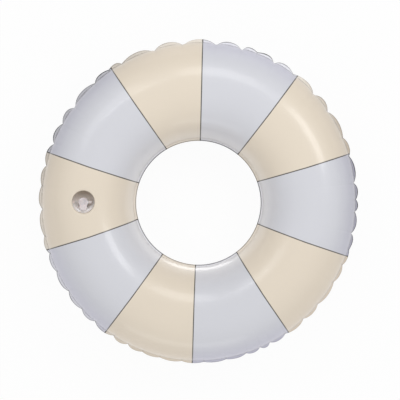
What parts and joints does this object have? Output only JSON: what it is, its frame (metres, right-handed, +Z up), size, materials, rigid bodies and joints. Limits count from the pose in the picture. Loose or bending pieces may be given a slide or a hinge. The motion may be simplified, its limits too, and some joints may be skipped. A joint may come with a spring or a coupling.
{
  "type": "swim ring",
  "caption": "Inflatable swim ring of two welded vinyl films with a gathered outer edge and a push-in safety valve with plug, strap and check flap.",
  "frame": {"origin": "centre of the bounding box at the surface the ring lies on", "axes": "+Z up along the ring's axis, the valve on the -X side of the upper film"},
  "size_m": [0.4998, 0.4998, 0.1314],
  "materials": {
    "front_film": "satin gloss printed soft vinyl",
    "back_film": "satin gloss printed soft vinyl",
    "valve_base": "milky soft vinyl",
    "valve_skirt": "milky soft vinyl",
    "valve_stem": "milky soft vinyl",
    "check_flap": "milky soft vinyl",
    "valve_plug": "milky soft vinyl",
    "plug_strap": "milky soft vinyl"
  },
  "bodies": {
    "ring": {"front_film": "front_film", "back_film": "back_film", "valve_base": "valve_base", "valve_skirt": "valve_skirt"},
    "stem": {"valve_stem": "valve_stem", "plug_strap": "plug_strap"},
    "plug": {"valve_plug": "valve_plug"},
    "flap": {"check_flap": "check_flap"}
  },
  "joints": [
    {"name": "stem_pop_out", "type": "slide", "parent": "ring", "child": "stem", "axis": [0, 0, 1], "range_m": [0, 0.015], "deforming": ["valve_skirt"]},
    {"name": "plug_pull", "type": "slide", "parent": "stem", "child": "plug", "axis": [0, 0, 1], "range_m": [0, 0.01], "deforming": ["plug_strap"]},
    {"name": "flap_open", "type": "hinge", "parent": "stem", "child": "flap", "pos_m": [-0.18251, 0, 0.11143], "axis": [0, 1, 0], "range_deg": [0, 55], "stiffness_Nm_per_rad": 0.00005, "springref_deg": -17.19}
  ]
}
